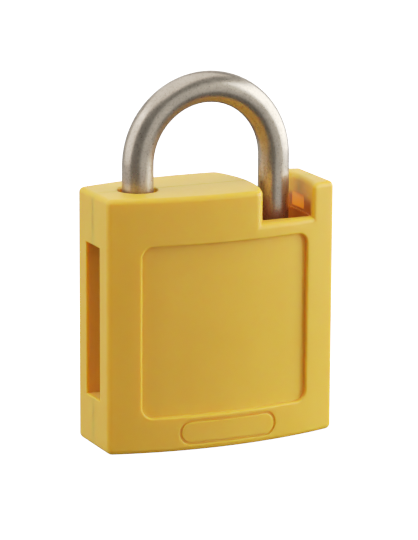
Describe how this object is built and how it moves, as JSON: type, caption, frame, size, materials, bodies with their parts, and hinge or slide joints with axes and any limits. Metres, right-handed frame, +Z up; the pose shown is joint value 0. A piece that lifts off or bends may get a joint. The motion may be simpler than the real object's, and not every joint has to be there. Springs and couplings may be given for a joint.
{
  "type": "lockout padlock",
  "caption": "Safety lockout padlock: two-part moulded nylon body, bent steel shackle that lifts through an arched channel, pin-tumbler lock with a dead bolt.",
  "frame": {"origin": "bottom of the body, midway between its end faces and between its two bulged faces", "axes": "+X to the toe side, where the shackle opens; +Y to the rear; +Z up, from the keyway end to the bow"},
  "size_m": [0.05, 0.023, 0.0754],
  "materials": {
    "yellow_nylon": "satin moulded nylon, slightly translucent",
    "shackle_steel": "fine satin stainless steel",
    "plain_steel": "bright drawn or stamped steel",
    "brass": "turned brass"
  },
  "bodies": {
    "root": {"front_shell": "yellow_nylon", "rear_shell": "yellow_nylon", "shell_dowel_1": "plain_steel", "shell_dowel_2": "plain_steel", "shell_dowel_3": "plain_steel", "shell_dowel_4": "plain_steel", "shell_dowel_5": "plain_steel", "cylinder_cross_pin": "plain_steel", "cylinder_housing": "brass", "spring_cover": "brass", "driver_pin_1": "plain_steel", "driver_pin_2": "plain_steel", "driver_pin_3": "plain_steel", "driver_pin_4": "plain_steel", "driver_pin_5": "plain_steel", "pin_spring_1": "plain_steel", "pin_spring_2": "plain_steel", "pin_spring_3": "plain_steel", "pin_spring_4": "plain_steel", "pin_spring_5": "plain_steel", "bolt_carrier": "plain_steel", "bolt_cover_plate": "plain_steel", "heel_stop_bush": "plain_steel"},
    "plug": {"plug": "brass", "plug_circlip": "plain_steel", "key_pin_1": "brass", "key_pin_2": "brass", "key_pin_3": "brass", "key_pin_4": "brass", "key_pin_5": "brass", "drive_cam": "plain_steel", "crank_pin": "plain_steel"},
    "bolt": {"locking_bolt": "plain_steel"},
    "shackle": {"shackle": "shackle_steel", "heel_clip": "plain_steel"}
  },
  "joints": [
    {"name": "shackle_lift", "type": "slide", "parent": "root", "child": "shackle", "axis": [0, 0, 1], "range_m": [0, 0.0136]},
    {"name": "plug_turn", "type": "hinge", "parent": "root", "child": "plug", "pos_m": [0.003, 0, 0.0006], "axis": [0, 0, 1], "range_deg": [0, 90]},
    {"name": "bolt_slide", "type": "slide", "parent": "root", "child": "bolt", "axis": [1, 0, 0], "range_m": [0, 0.0022]}
  ],
  "couplings": [
    {"joint": "bolt_slide", "follows": "plug_turn", "m_per_rad": 0.0014}
  ]
}
